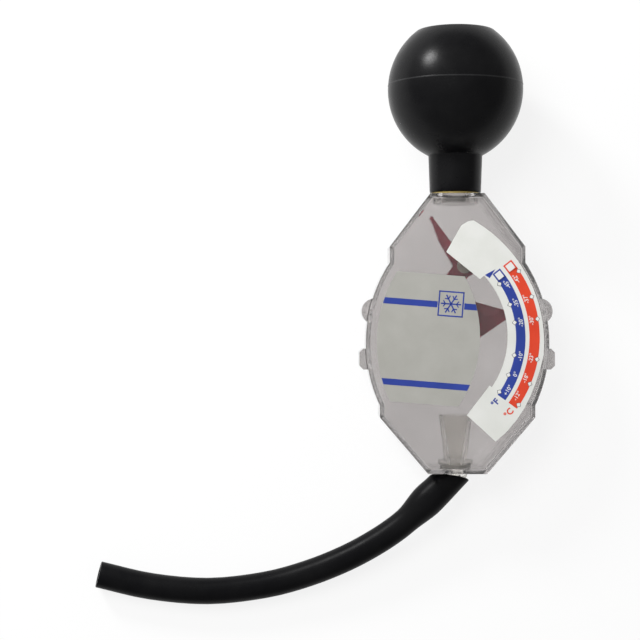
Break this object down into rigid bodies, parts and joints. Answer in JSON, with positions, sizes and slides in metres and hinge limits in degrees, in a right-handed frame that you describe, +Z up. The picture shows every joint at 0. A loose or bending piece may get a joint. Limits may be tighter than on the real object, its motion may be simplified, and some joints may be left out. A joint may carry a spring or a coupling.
{
  "type": "antifreeze tester",
  "caption": "Flat clear chamber with a pivoted float, a brass weight and a curved scale, a black rubber squeeze bulb above it and a short black suction hose below.",
  "frame": {"origin": "middle of the box of the tester without its hose, at the level of the table it lies on", "axes": "+X to the right across the face, +Y along the table towards the bulb, +Z up from the table"},
  "size_m": [0.1737, 0.2183, 0.0516],
  "materials": {
    "clear_plastic": "clear moulded styrene, glossy",
    "bulb_rubber": "matt black rubber",
    "hose_rubber": "smooth black rubber",
    "seal_rubber": "pale clear silicone rubber",
    "adhesive": "amber contact adhesive",
    "float_plastic": "maroon moulded plastic",
    "brass": "turned brass, dulled",
    "steel": "ground steel pin",
    "white_vinyl": "white printed vinyl",
    "grey_vinyl": "grey printed vinyl"
  },
  "bodies": {
    "case": {"front_shell": "clear_plastic", "rear_shell": "clear_plastic", "bulb_spigot": "clear_plastic", "inlet_nozzle": "clear_plastic", "inlet_seal": "seal_rubber", "bulb": "bulb_rubber", "bulb_adhesive": "adhesive", "pivot_pin": "steel", "scale_label": "white_vinyl", "plain_label": "grey_vinyl", "hose": "hose_rubber"},
    "pointer": {"float": "float_plastic", "counterweight": "brass"}
  },
  "joints": [
    {"name": "float_pivot", "type": "hinge", "parent": "case", "child": "pointer", "pos_m": [-0.015, -0.02493, 0.01673], "axis": [0, -0.0968, 0.9953], "range_deg": [-46, 4]}
  ]
}
